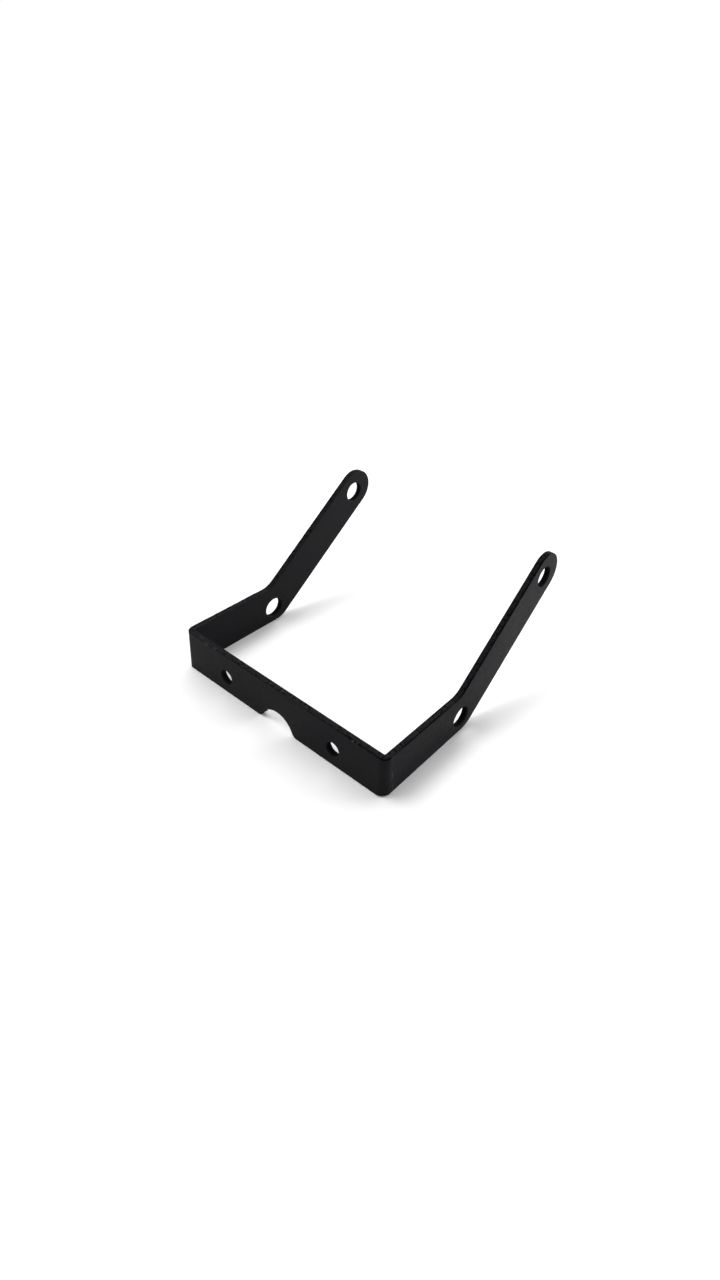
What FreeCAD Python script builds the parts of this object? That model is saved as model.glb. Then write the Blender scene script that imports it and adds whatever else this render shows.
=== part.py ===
import FreeCAD, Part
import math
import os
from types import SimpleNamespace

import Sketcher
from FreeCAD import Vector

# Driving dimensions of the folded bracket, in millimetres and degrees
dimensions = {
    # the sheet and the strip it is cut to
    "sheet_thickness": 2.5,
    "strip_width": 17.0,
    "overall_width": 100.0,
    "inside_bend_radius": 0.5,
    "coated_edge_radius": 0.25,
    "hole_rim_chamfer": 0.2,
    # the arms: level from the web to the kink, then rising to a round end
    "kink_distance": 44.0,
    "kink_angle": 38.0,
    "kink_outer_radius": 9.5,
    "kink_inner_radius": 8.0,
    "raised_length": 69.0,
    # the bolt holes at the heel and the tip of each arm
    "arm_hole_diameter": 8.5,
    "heel_hole_setback": 1.5,
    "heel_hole_height": 6.8,
    "tip_hole_inset": 10.0,
    # the lamp's bolt holes and the cable notch in the web
    "lamp_hole_diameter": 5.8,
    "lamp_hole_spacing": 54.0,
    "lamp_hole_height": 7.0,
    "notch_radius": 8.0,
    "notch_depth": 6.5,
    "notch_corner_radius": 2.5,
}
size = SimpleNamespace(**dimensions)
outer_bend_radius = "(sizes.inside_bend_radius + sizes.sheet_thickness)"
square_fold = 90
# two faces run on smoothly where the cosine between their normals is over this
smooth_cosine = 0.5

# places on a curve, and a sketch's own axes and origin, which are counted down from -1
start, end, centre = range(1, 4)
level_axis, upright_axis = range(-1, -3, -1)
origin = (level_axis, start)


def add_sheet(doc):
    sheet = doc.addObject("Spreadsheet::Sheet", "sizes")
    for row, (name, value) in enumerate(dimensions.items(), 1):
        sheet.set(f"A{row}", name)
        sheet.set(f"B{row}", str(value))
        sheet.setAlias(f"B{row}", name)
    doc.recompute()
    return sheet


def add_sketch(body, name, role, distance=None):
    # the sketch lies on an origin plane of the body, or at a distance in front of it
    plane = next(item for item in body.Origin.OriginFeatures if item.Role == role)
    sketch = body.newObject("Sketcher::SketchObject", name)
    sketch.AttachmentSupport = [(plane, "")]
    sketch.MapMode = "FlatFace"
    if distance:
        sketch.setExpression("AttachmentOffset.Base.z", distance)
    return sketch


def tie(sketch, kind, *places):
    return sketch.addConstraint(Sketcher.Constraint(kind, *places))


def dimension(sketch, name, formula, kind, *places):
    # the last place is the value that the curves were drawn with
    index = tie(sketch, kind, *places)
    sketch.renameConstraint(index, name)
    sketch.setExpression(f"Constraints.{name}", formula)


def join_smoothly(sketch, *joints):
    for curve, curve_end, following, following_end in joints:
        tie(sketch, "Tangent", curve, curve_end, following, following_end)


def line(first, second):
    return Part.LineSegment(first, second)


def arc(middle, radius, first_angle, second_angle):
    return Part.ArcOfCircle(circle(middle, radius), first_angle, second_angle)


def circle(middle, radius):
    return Part.Circle(middle, Vector(0, 0, 1), radius)


def draw_web(body):
    sketch = add_sketch(body, "web_outline", "XZ_Plane")
    side = size.overall_width / 2 - size.inside_bend_radius - size.sheet_thickness
    top = size.strip_width
    notch_middle = Vector(0, size.notch_depth - size.notch_radius, 0)
    rise = size.notch_corner_radius - notch_middle.y
    reach = math.sqrt((size.notch_radius + size.notch_corner_radius) ** 2 - rise ** 2)
    slope = math.atan2(rise, reach)
    corner_middle = Vector(reach, size.notch_corner_radius, 0)
    other_middle = Vector(-reach, size.notch_corner_radius, 0)

    bottom, right, upper, left, other_bottom = sketch.addGeometry([
        line(Vector(reach, 0, 0), Vector(side, 0, 0)),
        line(Vector(side, 0, 0), Vector(side, top, 0)),
        line(Vector(side, top, 0), Vector(-side, top, 0)),
        line(Vector(-side, top, 0), Vector(-side, 0, 0)),
        line(Vector(-side, 0, 0), Vector(-reach, 0, 0)),
    ])
    other_corner, notch, corner = sketch.addGeometry([
        arc(other_middle, size.notch_corner_radius, -math.pi / 2, -slope),
        arc(notch_middle, size.notch_radius, slope, math.pi - slope),
        arc(corner_middle, size.notch_corner_radius, math.pi + slope, 3 * math.pi / 2),
    ])
    for curve, following in ((bottom, right), (right, upper), (upper, left), (left, other_bottom)):
        tie(sketch, "Coincident", curve, end, following, start)
    join_smoothly(
        sketch,
        (other_bottom, end, other_corner, start),
        (other_corner, end, notch, end),
        (notch, start, corner, start),
        (corner, end, bottom, start),
    )
    tie(sketch, "Vertical", right)
    tie(sketch, "Vertical", left)
    tie(sketch, "Horizontal", bottom)
    tie(sketch, "Horizontal", other_bottom)
    tie(sketch, "PointOnObject", bottom, end, level_axis)
    tie(sketch, "PointOnObject", other_bottom, start, level_axis)
    tie(sketch, "Symmetric", upper, start, upper, end, upright_axis)
    tie(sketch, "PointOnObject", notch, centre, upright_axis)
    tie(sketch, "Equal", corner, other_corner)
    dimension(sketch, "flat_width", f"sizes.overall_width - 2 * {outer_bend_radius}",
              "DistanceX", upper, end, upper, start, 2 * side)
    dimension(sketch, "height", "sizes.strip_width", "DistanceY", right, start, right, end, top)
    dimension(sketch, "notch_radius", "sizes.notch_radius", "Radius", notch, size.notch_radius)
    dimension(sketch, "notch_middle", "sizes.notch_depth - sizes.notch_radius",
              "DistanceY", *origin, notch, centre, notch_middle.y)
    dimension(sketch, "corner_radius", "sizes.notch_corner_radius",
              "Radius", corner, size.notch_corner_radius)

    spread = size.lamp_hole_spacing / 2
    hole, other_hole = sketch.addGeometry([
        circle(Vector(spread, size.lamp_hole_height, 0), size.lamp_hole_diameter / 2),
        circle(Vector(-spread, size.lamp_hole_height, 0), size.lamp_hole_diameter / 2),
    ])
    tie(sketch, "Symmetric", hole, centre, other_hole, centre, upright_axis)
    tie(sketch, "Equal", hole, other_hole)
    dimension(sketch, "hole_spacing", "sizes.lamp_hole_spacing",
              "DistanceX", other_hole, centre, hole, centre, 2 * spread)
    dimension(sketch, "hole_height", "sizes.lamp_hole_height",
              "DistanceY", *origin, hole, centre, size.lamp_hole_height)
    dimension(sketch, "hole_diameter", "sizes.lamp_hole_diameter",
              "Diameter", hole, size.lamp_hole_diameter)
    return sketch


def draw_bend(body):
    # the strip's section where the web ends, and the upright line that it folds about
    sketch = add_sketch(body, "bend_section", "YZ_Plane", f"sizes.overall_width / 2 - {outer_bend_radius}")
    depth = size.sheet_thickness
    top = size.strip_width
    fold = size.inside_bend_radius + size.sheet_thickness
    bottom, back, upper, front = sketch.addGeometry([
        line(Vector(0, 0, 0), Vector(depth, 0, 0)),
        line(Vector(depth, 0, 0), Vector(depth, top, 0)),
        line(Vector(depth, top, 0), Vector(0, top, 0)),
        line(Vector(0, top, 0), Vector(0, 0, 0)),
    ])
    fold_line = sketch.addGeometry(line(Vector(fold, 0, 0), Vector(fold, top, 0)), True)
    for curve, following in ((bottom, back), (back, upper), (upper, front), (front, bottom)):
        tie(sketch, "Coincident", curve, end, following, start)
    tie(sketch, "Coincident", bottom, start, *origin)
    tie(sketch, "Horizontal", bottom)
    tie(sketch, "Vertical", back)
    tie(sketch, "Horizontal", upper)
    tie(sketch, "Vertical", front)
    tie(sketch, "Vertical", fold_line)
    tie(sketch, "PointOnObject", fold_line, start, level_axis)
    tie(sketch, "Equal", fold_line, back)
    dimension(sketch, "thickness", "sizes.sheet_thickness", "DistanceX", bottom, start, bottom, end, depth)
    dimension(sketch, "height", "sizes.strip_width", "DistanceY", back, start, back, end, top)
    dimension(sketch, "fold_distance", outer_bend_radius, "DistanceX", *origin, fold_line, start, fold)
    return sketch


def draw_arm(body):
    sketch = add_sketch(body, "arm_outline", "YZ_Plane", "sizes.overall_width / 2")
    turn = math.radians(size.kink_angle)
    along = Vector(math.cos(turn), math.sin(turn), 0)
    across = Vector(-math.sin(turn), math.cos(turn), 0)
    width = size.strip_width
    half = width / 2
    front = size.inside_bend_radius + size.sheet_thickness
    kink = Vector(size.kink_distance, half, 0)
    tip = kink + along * (size.raised_length - half)
    skew = math.tan(turn / 2)
    heel_begin = Vector(kink.x + (half - size.kink_outer_radius) * skew, 0, 0)
    heel_middle = heel_begin + Vector(0, size.kink_outer_radius, 0)
    heel_finish = heel_middle - across * size.kink_outer_radius
    throat_finish = Vector(kink.x - (half + size.kink_inner_radius) * skew, width, 0)
    throat_middle = throat_finish + Vector(0, size.kink_inner_radius, 0)
    throat_begin = throat_middle - across * size.kink_inner_radius

    lower, rise, fall, upper, closing = sketch.addGeometry([
        line(Vector(front, 0, 0), heel_begin),
        line(heel_finish, tip - across * half),
        line(tip + across * half, throat_begin),
        line(throat_finish, Vector(front, width, 0)),
        line(Vector(front, width, 0), Vector(front, 0, 0)),
    ])
    heel, round_end, throat = sketch.addGeometry([
        arc(heel_middle, size.kink_outer_radius, -math.pi / 2, turn - math.pi / 2),
        arc(tip, half, turn - math.pi / 2, turn + math.pi / 2),
        arc(throat_middle, size.kink_inner_radius, -math.pi / 2, turn - math.pi / 2),
    ])
    level_line, raised_line = sketch.addGeometry([
        line(Vector(front, half, 0), kink),
        line(kink, tip),
    ], True)
    tie(sketch, "Coincident", upper, end, closing, start)
    tie(sketch, "Coincident", closing, end, lower, start)
    join_smoothly(
        sketch,
        (lower, end, heel, start),
        (heel, end, rise, start),
        (rise, end, round_end, start),
        (round_end, end, fall, start),
        (fall, end, throat, end),
        (throat, start, upper, start),
    )
    tie(sketch, "Horizontal", lower)
    tie(sketch, "Horizontal", upper)
    tie(sketch, "Vertical", closing)
    tie(sketch, "PointOnObject", lower, start, level_axis)
    tie(sketch, "Symmetric", closing, start, closing, end, level_line, start)
    tie(sketch, "Horizontal", level_line)
    tie(sketch, "Coincident", level_line, end, raised_line, start)
    tie(sketch, "Coincident", raised_line, end, round_end, centre)
    tie(sketch, "Parallel", rise, raised_line)
    tie(sketch, "Parallel", fall, raised_line)
    dimension(sketch, "bend_end", outer_bend_radius, "DistanceX", *origin, closing, end, front)
    dimension(sketch, "width", "sizes.strip_width", "DistanceY", closing, end, closing, start, width)
    dimension(sketch, "kink_distance", "sizes.kink_distance",
              "DistanceX", *origin, raised_line, start, kink.x)
    dimension(sketch, "kink_angle", "sizes.kink_angle * 1 deg", "Angle", raised_line, turn)
    dimension(sketch, "raised_length", "sizes.raised_length - sizes.strip_width / 2",
              "Distance", raised_line, size.raised_length - half)
    dimension(sketch, "end_radius", "sizes.strip_width / 2", "Radius", round_end, half)
    dimension(sketch, "outer_radius", "sizes.kink_outer_radius", "Radius", heel, size.kink_outer_radius)
    dimension(sketch, "inner_radius", "sizes.kink_inner_radius", "Radius", throat, size.kink_inner_radius)

    hole_radius = size.arm_hole_diameter / 2
    tip_hole_reach = size.raised_length - size.tip_hole_inset
    heel_hole, tip_hole = sketch.addGeometry([
        circle(Vector(kink.x - size.heel_hole_setback, size.heel_hole_height, 0), hole_radius),
        circle(kink + along * tip_hole_reach, hole_radius),
    ])
    tie(sketch, "PointOnObject", tip_hole, centre, raised_line)
    tie(sketch, "Equal", heel_hole, tip_hole)
    dimension(sketch, "heel_hole_setback", "sizes.heel_hole_setback",
              "DistanceX", heel_hole, centre, raised_line, start, size.heel_hole_setback)
    dimension(sketch, "heel_hole_height", "sizes.heel_hole_height",
              "DistanceY", *origin, heel_hole, centre, size.heel_hole_height)
    dimension(sketch, "tip_hole_reach", "sizes.raised_length - sizes.tip_hole_inset",
              "Distance", raised_line, start, tip_hole, centre, tip_hole_reach)
    dimension(sketch, "hole_diameter", "sizes.arm_hole_diameter",
              "Diameter", heel_hole, size.arm_hole_diameter)
    return sketch


def pad_sheet(body, name, sketch):
    # the outline is the sheet's outer face, so the thickness goes inwards
    pad = body.newObject("PartDesign::Pad", name)
    pad.Profile = sketch
    pad.Reversed = True
    pad.setExpression("Length", "sizes.sheet_thickness")
    return pad


def fold_sheet(body, name, sketch):
    fold = body.newObject("PartDesign::Revolution", name)
    fold.Profile = sketch
    fold.ReferenceAxis = (sketch, ["Axis0"])
    fold.Angle = square_fold
    return fold


def mirror_side(body, name, features):
    middle_plane = next(item for item in body.Origin.OriginFeatures if item.Role == "YZ_Plane")
    mirror = body.newObject("PartDesign::Mirrored", name)
    mirror.Originals = features
    mirror.MirrorPlane = (middle_plane, [""])
    body.Tip = mirror
    return mirror


def sharp_edges(shape, closed):
    # edges where the sheet's face meets a cut wall squarely: the closed ones are the rims of holes
    names = []
    for number, edge in enumerate(shape.Edges, 1):
        point = edge.valueAt((edge.FirstParameter + edge.LastParameter) / 2)
        faces = shape.ancestorsOfType(edge, Part.Face)
        normals = [face.normalAt(*face.Surface.parameter(point)) for face in faces]
        is_sharp = len(normals) == 2 and abs(normals[0].dot(normals[1])) < smooth_cosine
        if is_sharp and edge.isClosed() == closed:
            names.append(f"Edge{number}")
    return names


def dress_edges(body, kind, name, base, closed, amount, formula):
    dress = body.newObject(kind, name)
    dress.Base = (base, sharp_edges(base.Shape, closed))
    dress.setExpression(amount, formula)
    body.Tip = dress
    return dress


def make_bracket(doc):
    body = doc.addObject("PartDesign::Body", "bracket")
    body.Label = "rear_light_bracket"
    pad_sheet(body, "web", draw_web(body))
    bend = fold_sheet(body, "right_bend", draw_bend(body))
    arm = pad_sheet(body, "right_arm", draw_arm(body))
    doc.recompute()
    left_side = mirror_side(body, "left_side", [bend, arm])
    doc.recompute()
    edges = dress_edges(body, "PartDesign::Fillet", "coated_edges", left_side, False,
                        "Radius", "sizes.coated_edge_radius")
    doc.recompute()
    dress_edges(body, "PartDesign::Chamfer", "hole_rims", edges, True,
                "Size", "sizes.hole_rim_chamfer")
    # the frame's origin lies on the web's outer face, midway between the lamp's bolt holes
    body.setExpression("Placement.Base.z", "-sizes.lamp_hole_height")
    doc.recompute()
    return body


def check(doc):
    for item in doc.Objects:
        if "Invalid" in item.State or "Error" in item.State:
            raise RuntimeError(f"{item.Name} did not build: {item.State}")
        shape = getattr(item, "Shape", None)
        if shape is not None and (shape.isNull() or not shape.isValid()):
            raise RuntimeError(f"{item.Name} has no valid shape")


doc = FreeCAD.newDocument("rear_light_bracket")
add_sheet(doc)
bracket = make_bracket(doc)
check(doc)
os.makedirs("parts", exist_ok=True)
bracket.Shape.exportStep(f"parts/{bracket.Label}.step")
print(bracket.Label, len(bracket.Shape.Solids), "solid,", round(bracket.Shape.Volume), "cubic millimetres")
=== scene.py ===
import math

import bmesh
import bpy
from mathutils import Matrix, Vector, noise


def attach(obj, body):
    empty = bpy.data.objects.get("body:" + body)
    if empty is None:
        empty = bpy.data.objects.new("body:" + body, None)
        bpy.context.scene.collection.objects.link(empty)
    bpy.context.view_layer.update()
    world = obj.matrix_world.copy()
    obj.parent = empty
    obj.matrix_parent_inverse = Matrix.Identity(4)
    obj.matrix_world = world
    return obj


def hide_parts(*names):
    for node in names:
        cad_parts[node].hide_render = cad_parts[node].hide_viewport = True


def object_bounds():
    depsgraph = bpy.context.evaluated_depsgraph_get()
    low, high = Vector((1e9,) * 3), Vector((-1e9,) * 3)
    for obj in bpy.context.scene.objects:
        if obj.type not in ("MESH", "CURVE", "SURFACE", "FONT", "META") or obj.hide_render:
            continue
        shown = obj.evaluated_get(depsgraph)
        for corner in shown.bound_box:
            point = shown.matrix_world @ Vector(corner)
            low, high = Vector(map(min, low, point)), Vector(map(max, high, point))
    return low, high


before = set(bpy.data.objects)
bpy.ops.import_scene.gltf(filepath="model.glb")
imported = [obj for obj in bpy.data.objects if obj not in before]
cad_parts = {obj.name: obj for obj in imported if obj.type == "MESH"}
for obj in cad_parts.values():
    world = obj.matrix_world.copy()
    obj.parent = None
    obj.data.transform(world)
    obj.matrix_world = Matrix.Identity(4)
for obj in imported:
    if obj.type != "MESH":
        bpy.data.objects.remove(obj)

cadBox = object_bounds()
mm = 0.001
print("frame loaded:", sorted(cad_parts))


# An sRGB hex colour by the standard curve, with full alpha
def hexToLinear(code):
    channels = [int(code[i:i + 2], 16) / 255 for i in (1, 3, 5)]
    linear = [c / 12.92 if c <= 0.04045 else ((c + 0.055) / 1.055) ** 2.4 for c in channels]
    return (*linear, 1.0)


# Adds one node: settings go on its properties, inputs on its sockets as values or links
def addNode(tree, kind, inputs=None, **settings):
    node = tree.nodes.new(kind)
    for name, value in settings.items():
        setattr(node, name, value)
    for name, value in (inputs or {}).items():
        socket = node.inputs[name]
        if isinstance(value, bpy.types.NodeSocket):
            tree.links.new(value, socket)
        else:
            socket.default_value = value
    return node


# The sheet, cut flat in millimetres: x along the strip, z across it, y through its thickness
bracket = {
    "sheetThickness": 2.5,
    "stripWidth": 17.0,
    "overallWidth": 100.0,
    "insideBend": 0.5,
    "kinkDistance": 44.0,
    "kinkAngle": 38.0,
    "kinkOuterRadius": 9.5,
    "kinkInnerRadius": 8.0,
    "raisedLength": 69.0,
    "armHole": 8.5,
    "heelHoleSetback": 1.5,
    "heelHoleHeight": 6.8,
    "tipHoleInset": 10.0,
    "lampHole": 5.8,
    "lampHoleSpacing": 54.0,
    "lampHoleHeight": 7.0,
    "notchRadius": 8.0,
    "notchDepth": 6.5,
    "notchCorner": 2.5,
    "edgeRadius": 0.25,
    "edgeSteps": 4,
    "flatMargin": 0.3,      # a narrow flat ring that keeps the faces' shading flat
    "outlineStep": 0.25,
    "leastLineSteps": 2,
    "leastArcSteps": 6,
    "foldSteps": 18,
    "wallSteps": 5,
    "wallGrain": 0.14,      # the rough of the sheared walls, under the coat
    "grainSize": 0.9,
    # the torn line along the outer side of the cut, also darkened there by painted shade: depth below the
    # face, and share of its full tear
    "tearBand": ((0.3, 1.0), (0.4, 1.0), (0.46, 0.6), (0.52, 0.0)),
    "tearOnLip": 2.0,       # how soon the tear is full on the rounded edge above it
    "tearDepth": 0.3,
    "tearSize": 5.0,        # the length of the long tears
    "tearJag": 1.1,         # and of the short ones
    "tearRagged": 0.9,
    # how strong the tear and its painted shade are along the strip, broken where it is below zero: the web
    # is cut cleanest
    "tearAlong": (
        (-95.0, 1.0), (-47.0, -0.6), (-22.0, -0.4), (0.0, -0.1), (25.0, 0.0), (42.0, 0.8), (95.0, 1.0),
    ),
    "holeWallShade": 0.95,   # how dark the painted shade on the hole walls is
    "leftDraw": 0.05,       # how far each fold draws its outer edge in
    "rightDraw": 0.3,
    # dents in the top edge: distance along, from the web's middle or the right kink, half width, depth
    "webDents": ((1.2, 0.5, 0.3), (-18.5, 0.7, 0.12), (13.3, 0.5, 0.12), (-33.4, 0.6, 0.15)),
    "armDents": ((34.5, 0.5, 0.15), (37.0, 0.7, 0.2), (40.5, 0.6, 0.15), (21.0, 0.6, 0.1)),
}
outerBend = bracket["insideBend"] + bracket["sheetThickness"]
webReach = bracket["overallWidth"] / 2 - outerBend      # where the web ends and the bend begins
foldLength = outerBend * math.pi / 2                    # the bend, measured on the outer face


# A line or an arc as points, each with its direction out of the sheet, the last point left out
def lineRun(first, last):
    span = last - first
    count = max(bracket["leastLineSteps"], math.ceil(span.length / bracket["outlineStep"]))
    outward = Vector((span.y, -span.x)).normalized()
    return [(first + span * (i / count), outward) for i in range(count)]


def arcRun(middle, radius, firstAngle, lastAngle):
    length = radius * abs(lastAngle - firstAngle)
    count = max(bracket["leastArcSteps"], math.ceil(length / bracket["outlineStep"]))
    side = 1 if lastAngle > firstAngle else -1          # a clockwise arc bounds a hollow
    run = []
    for i in range(count):
        angle = firstAngle + (lastAngle - firstAngle) * i / count
        spoke = Vector((math.cos(angle), math.sin(angle)))
        run.append((middle + spoke * radius, spoke * side))
    return run


# Where a point of an arm lies on the flat sheet
def onArm(back, height):
    return Vector((webReach + foldLength + back - outerBend, height))


# The right half of the outline, from the notch's top round the arm to the middle of the web's top edge
def rightOutline():
    width = bracket["stripWidth"]
    half = width / 2
    turn = math.radians(bracket["kinkAngle"])
    skew = math.tan(turn / 2)
    along = Vector((math.cos(turn), math.sin(turn)))
    across = Vector((-math.sin(turn), math.cos(turn)))
    outer, inner = bracket["kinkOuterRadius"], bracket["kinkInnerRadius"]
    kink = onArm(bracket["kinkDistance"], half)
    tip = kink + along * (bracket["raisedLength"] - half)
    heelBegin = Vector((kink.x + (half - outer) * skew, 0))
    heelMiddle = heelBegin + Vector((0, outer))
    throatEnd = Vector((kink.x - (half + inner) * skew, width))
    throatMiddle = throatEnd + Vector((0, inner))

    corner, notch = bracket["notchCorner"], bracket["notchRadius"]
    notchMiddle = Vector((0, bracket["notchDepth"] - notch))
    rise = corner - notchMiddle.y
    reach = math.sqrt((notch + corner) ** 2 - rise ** 2)
    slope = math.atan2(rise, reach)

    down = -math.pi / 2
    run = arcRun(notchMiddle, notch, math.pi / 2, slope)
    run += arcRun(Vector((reach, corner)), corner, math.pi + slope, 3 * math.pi / 2)
    run += lineRun(Vector((reach, 0)), heelBegin)
    run += arcRun(heelMiddle, outer, down, down + turn)
    run += lineRun(heelMiddle - across * outer, tip - across * half)
    run += arcRun(tip, half, down + turn, turn - down)
    run += lineRun(tip + across * half, throatMiddle - across * inner)
    run += arcRun(throatMiddle, inner, down + turn, down)
    run += lineRun(throatEnd, Vector((0, width)))
    run.append((Vector((0, width)), Vector((0, 1))))
    return run


# The same run on the left half
def flip(run):
    return [(Vector((-p.x, p.y)), Vector((-n.x, n.y))) for p, n in run]


# The outline and the six holes, walked with the sheet on the left
def sheetLoops():
    right = rightOutline()
    loops = [right + flip(right)[-2:0:-1]]
    turn = math.radians(bracket["kinkAngle"])
    reach = bracket["raisedLength"] - bracket["tipHoleInset"]
    kink = onArm(bracket["kinkDistance"], bracket["stripWidth"] / 2)
    heel = onArm(bracket["kinkDistance"] - bracket["heelHoleSetback"], bracket["heelHoleHeight"])
    lamp = Vector((bracket["lampHoleSpacing"] / 2, bracket["lampHoleHeight"]))
    tip = kink + Vector((math.cos(turn), math.sin(turn))) * reach
    holes = ((lamp, bracket["lampHole"]), (heel, bracket["armHole"]), (tip, bracket["armHole"]))
    for middle, diameter in holes:
        for side in (1, -1):
            place = Vector((side * middle.x, middle.y))
            loops.append(arcRun(place, diameter / 2, 2 * math.pi, 0))
    return loops


# The section of a cut edge from the outer face to the inner one, as rings: how far in from the
# outline, how deep below the outer face, and its shares of cut wall, torn line and rough grain
def edgeSection(isOutline):
    radius, depth = bracket["edgeRadius"], bracket["sheetThickness"]
    turns = [math.pi / 2 * i / bracket["edgeSteps"] for i in range(bracket["edgeSteps"] + 1)]
    arc = [(radius * (1 - math.sin(a)), radius * (1 - math.cos(a)), math.sin(a) ** 2, 0, 0) for a in turns]
    ring = [(radius + bracket["flatMargin"], 0, 0, 0, 0)] + arc
    band = bracket["tearBand"] if isOutline else ()
    onLip = bracket["tearOnLip"] if isOutline else 0
    lip = [(inset, sunk, cut, min(1, onLip * cut), 0) for inset, sunk, cut, *_ in ring]
    wall = [(0, sunk, 1, share, 0) for sunk, share in band]
    start = band[-1][0] if isOutline else radius
    for i in range(1, bracket["wallSteps"]):
        sunk = start + (depth - radius - start) * i / bracket["wallSteps"]
        wall.append((0, sunk, 1, 0, 1))
    return lip + wall + [(inset, depth - sunk, cut, 0, 0) for inset, sunk, cut, *_ in reversed(ring)]


# How deep a tear the shears left at a point of the outline, from none to full
def tearAt(point):
    spot = point.to_3d()
    stops = bracket["tearAlong"]
    grip = stops[0][1]
    for (begin, first), (end, last) in zip(stops, stops[1:]):
        if point.x > begin:
            grip = first + (last - first) * min(1, (point.x - begin) / (end - begin))
    ragged = noise.noise(spot / bracket["tearSize"]) + noise.noise(spot / bracket["tearJag"])
    return min(1, max(0, grip + bracket["tearRagged"] * ragged))


# How far in the dents reach at a point of the outline
def dentAt(point):
    width = bracket["stripWidth"]
    turn = math.radians(bracket["kinkAngle"])
    kink = onArm(bracket["kinkDistance"], width / 2)
    along = Vector((math.cos(turn), math.sin(turn)))
    top = kink + Vector((-along.y, along.x)) * (width / 2)
    spots = [(Vector((x, width)), half, deep) for x, half, deep in bracket["webDents"]]
    spots += [(top + along * far, half, deep) for far, half, deep in bracket["armDents"]]
    return sum(deep * math.exp(-((point - spot).length / half) ** 2) for spot, half, deep in spots)


# How far a fold draws the strip's edges in: most at the outer face, and not past the sheet's middle
def drawnAt(point, sunk):
    turned = (abs(point.x) - webReach) / foldLength
    outside = 1 - 2 * sunk / bracket["sheetThickness"]
    if not 0 < turned < 1 or outside < 0:
        return 0
    most = bracket["rightDraw"] if point.x > 0 else bracket["leftDraw"]
    return most * math.sin(math.pi * turned) * outside


# The flat sheet as a closed mesh, with its cut walls, and the painted shade of its torn line and hole
# walls, marked on its points
def cutSheet():
    sheet = bmesh.new()
    cutWall = sheet.verts.layers.float.new("cutWall")
    paintedRecessShade = sheet.verts.layers.float.new("paintedRecessShade")
    loops = sheetLoops()
    faceEdges, backEdges = [], []
    for loop in loops:
        isOutline = loop is loops[0]
        rings = []
        tears = [tearAt(p) if isOutline else 0 for p, n in loop]
        dents = [dentAt(p) if isOutline else 0 for p, n in loop]
        for inset, sunk, cut, torn, rough in edgeSection(isOutline):
            ring = []
            for (p, n), tear, dent in zip(loop, tears, dents):
                # grain from none to full, always into the sheet
                grain = (1 + noise.noise(Vector((p.x, p.y, sunk)) / bracket["grainSize"])) / 2
                into = inset + cut * dent + torn * tear * bracket["tearDepth"]
                into += rough * grain * bracket["wallGrain"]
                if isOutline:
                    into += drawnAt(p, sunk)
                vert = sheet.verts.new((p.x - n.x * into, sunk, p.y - n.y * into))
                vert[cutWall] = cut
                # painted shade: the torn line's groove and the hole walls are marked for a darker colour
                # where shade falls
                vert[paintedRecessShade] = torn * tear if isOutline else rough * bracket["holeWallShade"]
                ring.append(vert)
            rings.append(ring)
        for upper, lower in zip(rings, rings[1:]):
            for i in range(len(loop)):
                sheet.faces.new((upper[i - 1], upper[i], lower[i], lower[i - 1]))
        for ring, edges in ((rings[0], faceEdges), (rings[-1], backEdges)):
            edges += [sheet.edges.get((ring[i - 1], ring[i])) for i in range(len(ring))]
    flats = []
    for edges, facing in ((faceEdges, -1), (backEdges, 1)):
        filled = bmesh.ops.triangle_fill(sheet, edges=edges, use_beauty=True, normal=(0, facing, 0))
        flats += [part for part in filled["geom"] if isinstance(part, bmesh.types.BMFace)]
    # score lines across the flats at the two bends, for the fold to follow
    for side in (1, -1):
        for i in range(bracket["foldSteps"] + 1):
            place = side * (webReach + foldLength * i / bracket["foldSteps"])
            near = [f for f in flats
                    if min(v.co.x for v in f.verts) < place < max(v.co.x for v in f.verts)]
            parts = set(near)
            for face in near:
                parts.update(face.edges)
                parts.update(face.verts)
            scored = bmesh.ops.bisect_plane(sheet, geom=list(parts), plane_co=(place, 0, 0),
                                            plane_no=(1, 0, 0))
            known = set(flats)
            flats += [part for part in scored["geom"]
                      if isinstance(part, bmesh.types.BMFace) and part not in known]
    bmesh.ops.recalc_face_normals(sheet, faces=sheet.faces)
    for face in sheet.faces:
        face.smooth = True
    mesh = bpy.data.meshes.new("bracketSheet")
    sheet.to_mesh(mesh)
    sheet.free()
    return mesh


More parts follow.
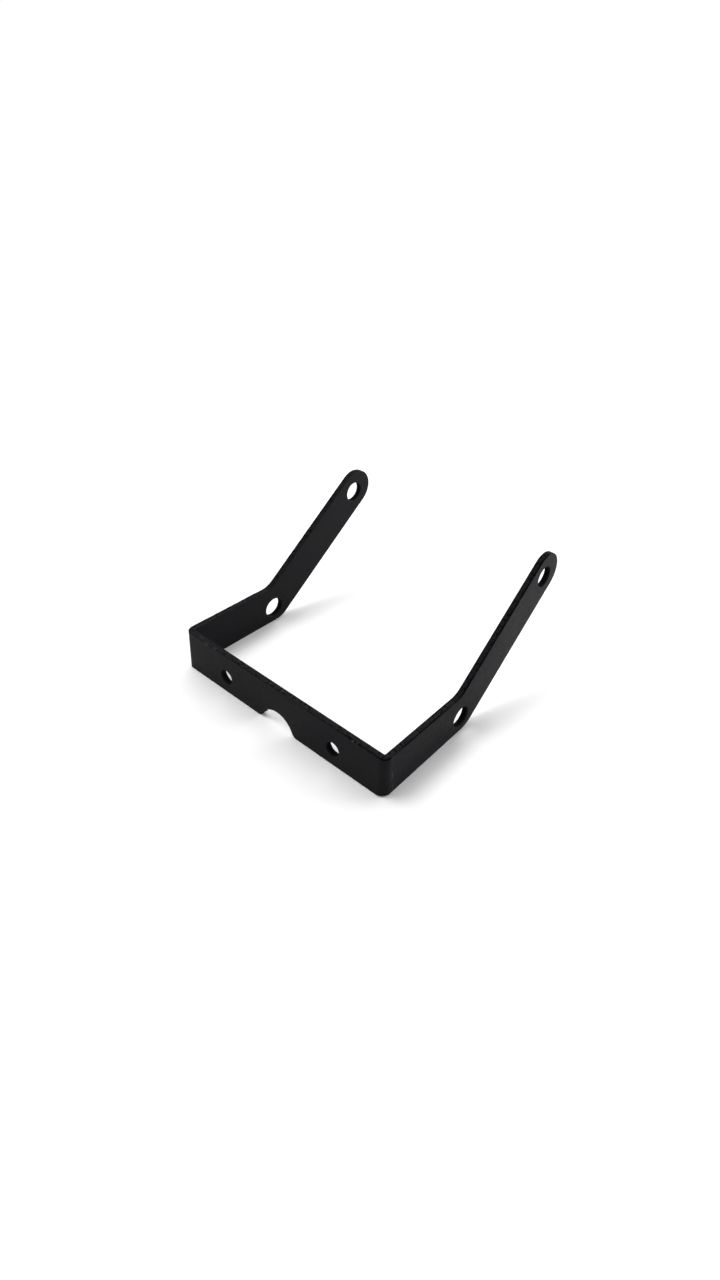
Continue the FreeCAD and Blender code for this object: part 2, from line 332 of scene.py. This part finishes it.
# Folds the flat sheet at both bends and brings it to metres, with the lamp holes' line at the origin
def foldTree(material):
    tree = bpy.data.node_groups.new("foldBothArms", "GeometryNodeTree")
    sockets = tree.interface
    sockets.new_socket("Geometry", in_out="INPUT", socket_type="NodeSocketGeometry")
    for name in ("Web Reach", "Outer Bend Radius", "Fold Angle", "Hole Height"):
        sockets.new_socket(name, in_out="INPUT", socket_type="NodeSocketFloat")
    sockets.new_socket("Geometry", in_out="OUTPUT", socket_type="NodeSocketGeometry")
    given = addNode(tree, "NodeGroupInput").outputs
    reach, bend, angle = given["Web Reach"], given["Outer Bend Radius"], given["Fold Angle"]
    place = addNode(tree, "GeometryNodeInputPosition").outputs[0]
    flat = addNode(tree, "ShaderNodeSeparateXYZ", {0: place}).outputs
    # how far along the bend a point lies is how far it slides back and turns about the bend's middle
    away = addNode(tree, "ShaderNodeMath", {0: flat["X"]}, operation="ABSOLUTE").outputs[0]
    side = addNode(tree, "ShaderNodeMath", {0: flat["X"]}, operation="SIGN").outputs[0]
    past = addNode(tree, "ShaderNodeMath", {0: away, 1: reach}, operation="SUBTRACT").outputs[0]
    arc = addNode(tree, "ShaderNodeMath", {0: bend, 1: angle}, operation="MULTIPLY").outputs[0]
    bent = addNode(tree, "ShaderNodeClamp", {"Value": past, "Min": 0.0, "Max": arc}).outputs[0]
    turned = addNode(tree, "ShaderNodeMath", {0: bent, 1: bend}, operation="DIVIDE").outputs[0]
    slid = addNode(tree, "ShaderNodeMath", {0: away, 1: bent}, operation="SUBTRACT").outputs[0]
    strip = addNode(tree, "ShaderNodeCombineXYZ", {0: slid, 1: flat["Y"], 2: flat["Z"]}).outputs[0]
    middle = addNode(tree, "ShaderNodeCombineXYZ", {0: reach, 1: bend}).outputs[0]
    folded = addNode(tree, "ShaderNodeVectorRotate", {"Vector": strip, "Center": middle, "Angle": turned},
                     rotation_type="Z_AXIS").outputs[0]
    drop = addNode(tree, "ShaderNodeCombineXYZ", {2: given["Hole Height"]}).outputs[0]
    level = addNode(tree, "ShaderNodeVectorMath", {0: folded, 1: drop}, operation="SUBTRACT").outputs[0]
    sides = addNode(tree, "ShaderNodeCombineXYZ", {0: side, 1: 1.0, 2: 1.0}).outputs[0]
    sided = addNode(tree, "ShaderNodeVectorMath", {0: level, 1: sides}, operation="MULTIPLY").outputs[0]
    metres = addNode(tree, "ShaderNodeVectorMath", {0: sided, "Scale": mm}, operation="SCALE").outputs[0]
    moved = addNode(tree, "GeometryNodeSetPosition", {"Geometry": given["Geometry"], "Position": metres})
    whole = addNode(tree, "GeometryNodeRealizeInstances", {0: moved.outputs[0]})
    coated = addNode(tree, "GeometryNodeSetMaterial", {"Geometry": whole.outputs[0], "Material": material})
    addNode(tree, "NodeGroupOutput", {"Geometry": coated.outputs[0]})
    return tree


# Turns a Geometry Nodes result into a plain mesh of its own
def applyTree(piece, tree, values):
    modifier = piece.modifiers.new(tree.name, "NODES")
    modifier.node_group = tree
    for item in tree.interface.items_tree:
        if item.in_out == "INPUT" and item.name in values:
            modifier[item.identifier] = values[item.name]
    shown = piece.evaluated_get(bpy.context.evaluated_depsgraph_get())
    result = bpy.data.meshes.new_from_object(shown)
    piece.modifiers.clear()
    piece.data = result


coat = {
    "colour": "#0E0E10",
    "coolColour": "#0E0E13",        # faint cool patches
    "wallColour": "#1B1B1D",        # cut walls are rougher under the coat, and greyer
    # painted shade for the torn line and the hole walls, and also the colour of the dry specks on the cut
    # walls
    "speckAndShadeColour": "#020202",
    # the rubbed coat, and the painted highlight beside the right bend
    "rubAndHighlightColour": "#48484C",
    "roughness": 0.5,
    "wallRoughness": 0.9,
    "dullSpotRoughness": 0.95,          # duller on the torn line, the hole walls and the dry specks
    "specular": 0.058,              # a satin coat mirrors little
    "patchSize": 14.0,              # millimetres, as all sizes here
    "patchEdge": (0.45, 0.65),
    "patchFinish": 0.03,            # how far patches and peel change the roughness
    "peelSize": 1.6,                # between the humps of the coat
    "peelDepth": 0.02,
    "peelFinish": 0.04,
    "finishSpan": (0.3, 0.7),       # the part of the noise that the roughness follows
    "grainSize": 0.55,              # real grain is about 0.1, too fine to show, so it is drawn coarser
    "grainDepth": 0.006,
    "speckSize": 1.1,               # dry specks on the cut walls
    "speckEdge": (0.52, 0.62),
    "speckShare": 0.9,
    "markEdge": (0.2, 1.0),          # shares of a spot's half size, from full to gone
    "markGrain": (0.4, 0.6),         # the grain breaks a spot up, from weak to full
    "markShare": (0.2, 1.0),
    # where the coat is rubbed or chipped, and the painted highlight beside the right bend: middle, half
    # sizes along each axis, strength
    "rubsAndHighlightMarks": (
        ((35.8, 0.0, 9.8), (0.7, 0.7, 0.7), 1.0), ((37.6, 0.1, 10.0), (0.8, 0.8, 0.8), 0.7),
        ((1.6, 1.5, 10.0), (0.8, 0.8, 0.8), 0.6), ((13.2, 1.2, 10.0), (0.6, 0.6, 0.6), 0.35),
        ((-4.3, 1.0, 10.0), (0.8, 0.8, 0.8), 0.35), ((-33.2, 0.6, 10.0), (1.2, 1.0, 1.0), 0.45),
        ((-38.0, 0.0, 9.7), (2.2, 1.2, 1.2), 0.35), ((-41.5, 1.0, 10.0), (2.0, 1.2, 1.2), 0.3),
        # the bending tool's line beside the right bend: partly a die mark, partly a painted highlight
        # along the bend's end
        ((50.0, 4.05, 0.8), (0.8, 0.5, 3.4), 0.5), ((50.0, 4.6, -4.6), (0.8, 0.5, 3.6), 0.5),
    ),
}


# Satin black powder coat on steel: melted powder levels to a soft sheen with a faint orange peel,
# and is duller and greyer on the rough cut walls; the torn line and the hole walls take painted shade
def satinBlackPowderCoat():
    material = bpy.data.materials.new("satinBlackPowderCoat")
    material.use_nodes = True
    tree = material.node_tree
    tree.nodes.clear()
    place = addNode(tree, "ShaderNodeTexCoord").outputs["Object"]
    wall = addNode(tree, "ShaderNodeAttribute", attribute_name="cutWall").outputs["Fac"]
    # painted shade on the torn line and the hole walls; the dry specks join it below
    shadeAndSpecks = addNode(tree, "ShaderNodeAttribute", attribute_name="paintedRecessShade").outputs["Fac"]
    speckle = {}
    for name in ("patch", "peel", "grain", "speck"):
        scale = 1 / (coat[name + "Size"] * mm)
        noiseNode = addNode(tree, "ShaderNodeTexNoise", {"Vector": place, "Scale": scale})
        speckle[name] = noiseNode.outputs["Fac"]
    dry = addNode(tree, "ShaderNodeMapRange", {
        "Value": speckle["speck"], "From Min": coat["speckEdge"][0], "From Max": coat["speckEdge"][1],
        "To Max": coat["speckShare"]}).outputs[0]
    dry = addNode(tree, "ShaderNodeMath", {0: dry, 1: wall}, operation="MULTIPLY").outputs[0]
    shadeAndSpecks = addNode(tree, "ShaderNodeMath", {0: dry, 1: shadeAndSpecks}, operation="MAXIMUM").outputs[0]

    # rubbed and chipped spots, and the painted highlight beside the right bend, mixed to a lighter grey
    rubsAndHighlight = 0.0
    for spot, halves, strength in coat["rubsAndHighlightMarks"]:
        stretch = Vector([1 / (half * mm) for half in halves])
        shift = -Vector(spot) * mm * stretch
        near = addNode(tree, "ShaderNodeVectorMath", {0: place, 1: stretch, 2: shift},
                       operation="MULTIPLY_ADD").outputs[0]
        away = addNode(tree, "ShaderNodeVectorMath", {0: near}, operation="LENGTH").outputs["Value"]
        mark = addNode(tree, "ShaderNodeMapRange", {
            "Value": away, "From Min": coat["markEdge"][0], "From Max": coat["markEdge"][1],
            "To Min": strength, "To Max": 0.0}).outputs[0]
        rubsAndHighlight = addNode(tree, "ShaderNodeMath", {0: rubsAndHighlight, 1: mark}, operation="MAXIMUM").outputs[0]
    broken = addNode(tree, "ShaderNodeMapRange", {
        "Value": speckle["grain"], "From Min": coat["markGrain"][0], "From Max": coat["markGrain"][1],
        "To Min": coat["markShare"][0], "To Max": coat["markShare"][1]}).outputs[0]
    rubsAndHighlight = addNode(tree, "ShaderNodeMath", {0: rubsAndHighlight, 1: broken}, operation="MULTIPLY").outputs[0]
    cool = addNode(tree, "ShaderNodeMapRange", {
        "Value": speckle["patch"],
        "From Min": coat["patchEdge"][0], "From Max": coat["patchEdge"][1]}).outputs[0]

    # a mix node's sockets go by number: 6 and 7 are its colours, 2 and 3 its plain values
    colour = hexToLinear(coat["colour"])
    tones = {"coolColour": cool, "wallColour": wall, "speckAndShadeColour": shadeAndSpecks, "rubAndHighlightColour": rubsAndHighlight}
    for tone, share in tones.items():
        colour = addNode(tree, "ShaderNodeMix", {0: share, 6: colour, 7: hexToLinear(coat[tone])},
                         data_type="RGBA").outputs[2]
    finish = coat["roughness"]
    for share, tone in ((wall, "wallRoughness"), (shadeAndSpecks, "dullSpotRoughness")):
        finish = addNode(tree, "ShaderNodeMix", {0: share, 2: finish, 3: coat[tone]}).outputs[0]
    for name in ("patch", "peel"):
        change = addNode(tree, "ShaderNodeMapRange", {
            "Value": speckle[name], "From Min": coat["finishSpan"][0], "From Max": coat["finishSpan"][1],
            "To Min": -coat[name + "Finish"], "To Max": coat[name + "Finish"]}).outputs[0]
        finish = addNode(tree, "ShaderNodeMath", {0: finish, 1: change}, operation="ADD",
                         use_clamp=True).outputs[0]
    humps = addNode(tree, "ShaderNodeBump", {
        "Height": speckle["peel"], "Strength": 1.0, "Distance": coat["peelDepth"] * mm})
    fine = addNode(tree, "ShaderNodeBump", {
        "Height": speckle["grain"], "Strength": 1.0, "Distance": coat["grainDepth"] * mm,
        "Normal": humps.outputs["Normal"]})
    shader = addNode(tree, "ShaderNodeBsdfPrincipled", {
        "Base Color": colour, "Roughness": finish, "Specular IOR Level": coat["specular"],
        "Normal": fine.outputs["Normal"]})
    addNode(tree, "ShaderNodeOutputMaterial", {"Surface": shader.outputs[0]})
    print("coat mixed:", material.name, "with", len(coat["rubsAndHighlightMarks"]), "rubbed spots")
    return material


def makeBracket():
    piece = bpy.data.objects.new("bracketSheet", cutSheet())
    bpy.context.scene.collection.objects.link(piece)
    applyTree(piece, foldTree(satinBlackPowderCoat()), {
        "Web Reach": webReach, "Outer Bend Radius": outerBend, "Fold Angle": math.pi / 2,
        "Hole Height": bracket["lampHoleHeight"]})
    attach(piece, "root")
    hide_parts("rear_light_bracket")
    print("bracket folded:", len(piece.data.vertices), "points,", len(piece.data.polygons), "faces")


studio = {
    "paperColour": "#F8F8F8",
    "backdropColour": "#000000",        # the backdrop shows by its glow alone
    "lightColour": "#FFFFFF",
    "paperReach": 4.0,                  # metres from the middle to the backdrop
    "paperFade": (0.1, 1.2),            # metres out, from a small lift to the full lift to white
    "paperLift": (0.06, 0.48),
    "backdropLift": 1.02,
    "backdropHeight": 2.8,
    "backdropSides": 64,
    "backdropFade": (1.3, 2.6),         # metres up, from white to the room's grey
    "roomStrength": 0.2,
    "keyStrength": 2.6,                 # watts on a square metre
    "keySpread": 85.0,                  # degrees across, a very large softbox
    "keyFrom": (-0.6, 0.4, 0.7),
    "stripPower": 11.0,                 # watts; a low softbox behind on the right, and one above
    "stripSize": (0.9, 0.35),
    "stripPlace": (0.45, 0.9, 0.2),
    "topPower": 6.0,
    "topSize": (0.5, 0.5),
    "topPlace": (-0.44, -0.3, 1.05),
    "aim": (0.0, 0.05, 0.02),
}


# Pale studio paper: matt and even, with a glow that only direct and mirrored rays see, so that it
# is white there; the glow changes with distance from the bracket
def paperMaterial(name, colour, fade, glows, leastGlow=0.0):
    material = bpy.data.materials.new(name)
    material.use_nodes = True
    tree = material.node_tree
    tree.nodes.clear()
    path = addNode(tree, "ShaderNodeLightPath").outputs
    seen = path["Is Camera Ray"]
    for ray in ("Is Glossy Ray", "Is Transmission Ray"):
        seen = addNode(tree, "ShaderNodeMath", {0: seen, 1: path[ray]}, operation="MAXIMUM").outputs[0]
    place = addNode(tree, "ShaderNodeTexCoord").outputs["Object"]
    away = addNode(tree, "ShaderNodeVectorMath", {0: place}, operation="LENGTH").outputs["Value"]
    glow = addNode(tree, "ShaderNodeMapRange", {
        "Value": away, "From Min": fade[0], "From Max": fade[1], "To Min": glows[0], "To Max": glows[1]},
        interpolation_type="SMOOTHSTEP").outputs[0]
    glow = addNode(tree, "ShaderNodeMath", {0: glow, 1: seen}, operation="MULTIPLY").outputs[0]
    glow = addNode(tree, "ShaderNodeMath", {0: glow, 1: leastGlow}, operation="MAXIMUM").outputs[0]
    light = addNode(tree, "ShaderNodeEmission", {
        "Color": hexToLinear(studio["lightColour"]), "Strength": glow})
    paper = addNode(tree, "ShaderNodeBsdfDiffuse", {"Color": hexToLinear(colour)})
    both = addNode(tree, "ShaderNodeAddShader", {0: paper.outputs[0], 1: light.outputs[0]})
    addNode(tree, "ShaderNodeOutputMaterial", {"Surface": both.outputs[0]})
    return material


# A piece of the studio, kept apart from the part
def stageMesh(name, points, faces, material):
    mesh = bpy.data.meshes.new(name)
    mesh.from_pydata(points, [], faces)
    mesh.materials.append(material)
    piece = bpy.data.objects.new(name, mesh)
    bpy.context.scene.collection.objects.link(piece)
    return piece


# A round floor level with the bracket's underside, inside a round backdrop
def makeStage():
    room, reach = studio["roomStrength"], studio["paperReach"]
    floorPaper = paperMaterial("paleStudioPaper", studio["paperColour"], studio["paperFade"],
                               studio["paperLift"])
    farAway = [math.hypot(reach, height) for height in studio["backdropFade"]]
    wallPaper = paperMaterial("whiteBackdrop", studio["backdropColour"], farAway,
                              (studio["backdropLift"], room), room)
    low, count = cadBox[0][2], studio["backdropSides"]
    ring = [(reach * math.cos(2 * math.pi * i / count), reach * math.sin(2 * math.pi * i / count))
            for i in range(count)]
    stageMesh("studioFloor", [(x, y, low) for x, y in ring], [tuple(range(count))], floorPaper)
    wall = [(x, y, low) for x, y in ring] + [(x, y, low + studio["backdropHeight"]) for x, y in ring]
    sides = [(i, i + count, (i + 1) % count + count, (i + 1) % count) for i in range(count)]
    backdrop = stageMesh("studioBackdrop", wall, sides, wallPaper)
    backdrop.visible_shadow = False     # the key light comes in over it
    print("floor and backdrop set,", reach, "m out")


def addLamp(name, kind, place, turn, **settings):
    lamp = bpy.data.lights.new(name, kind)
    for key, value in settings.items():
        setattr(lamp, key, value)
    holder = bpy.data.objects.new(name, lamp)
    holder.location = place
    holder.rotation_euler = turn
    bpy.context.scene.collection.objects.link(holder)


def makeLight():
    world = bpy.data.worlds.new("studioRoom")
    bpy.context.scene.world = world
    world.use_nodes = True
    background = world.node_tree.nodes["Background"]
    background.inputs["Color"].default_value = hexToLinear(studio["lightColour"])
    background.inputs["Strength"].default_value = studio["roomStrength"]
    key = Vector(studio["keyFrom"]).normalized()
    addLamp("keySoftbox", "SUN", key, key.to_track_quat("Z", "Y").to_euler(),
            energy=studio["keyStrength"], angle=math.radians(studio["keySpread"]))
    for name in ("strip", "top"):
        place = Vector(studio[name + "Place"])
        turn = (Vector(studio["aim"]) - place).to_track_quat("-Z", "Y").to_euler()
        width, height = studio[name + "Size"]
        addLamp(name + "Softbox", "AREA", place, turn,
                shape="RECTANGLE", size=width, size_y=height, energy=studio[name + "Power"])
    print("studio lit")


# The photograph's viewpoint: place and axes in metres, the lens in pixels of its 720 x 1280 frame
view = {
    "place": (0.15801, -0.14200, 0.19608),
    "right": (0.78875, 0.60942, 0.08052),
    "back": (0.49853, -0.71079, 0.49623),
    "focalPixels": 783.13,
    "frameHeight": 1280,
    "centreShift": (69.07, -105.79),    # pixels, right and down, from the frame's middle
    "sensorHeight": 36.0,               # millimetres
    "nearest": 0.01,                    # metres
}


def makeCamera():
    lens = bpy.data.cameras.new("photoCamera")
    lens.sensor_fit = "VERTICAL"
    lens.sensor_height = view["sensorHeight"]
    lens.lens = view["focalPixels"] * lens.sensor_height / view["frameHeight"]
    right, down = view["centreShift"]
    lens.shift_x = -right / view["frameHeight"]
    lens.shift_y = down / view["frameHeight"]
    lens.clip_start = view["nearest"]
    camera = bpy.data.objects.new("photoCamera", lens)
    sideways = Vector(view["right"]).normalized()
    backwards = Vector(view["back"])
    backwards = (backwards - sideways * backwards.dot(sideways)).normalized()
    upwards = backwards.cross(sideways)
    turned = Matrix((sideways, upwards, backwards)).transposed().to_4x4()
    camera.matrix_world = Matrix.Translation(view["place"]) @ turned
    bpy.context.scene.collection.objects.link(camera)
    bpy.context.scene.camera = camera
    print("camera set, lens", round(lens.lens, 2), "mm")


makeBracket()
makeStage()
makeLight()
makeCamera()
bpy.context.scene.view_settings.view_transform = "Standard"
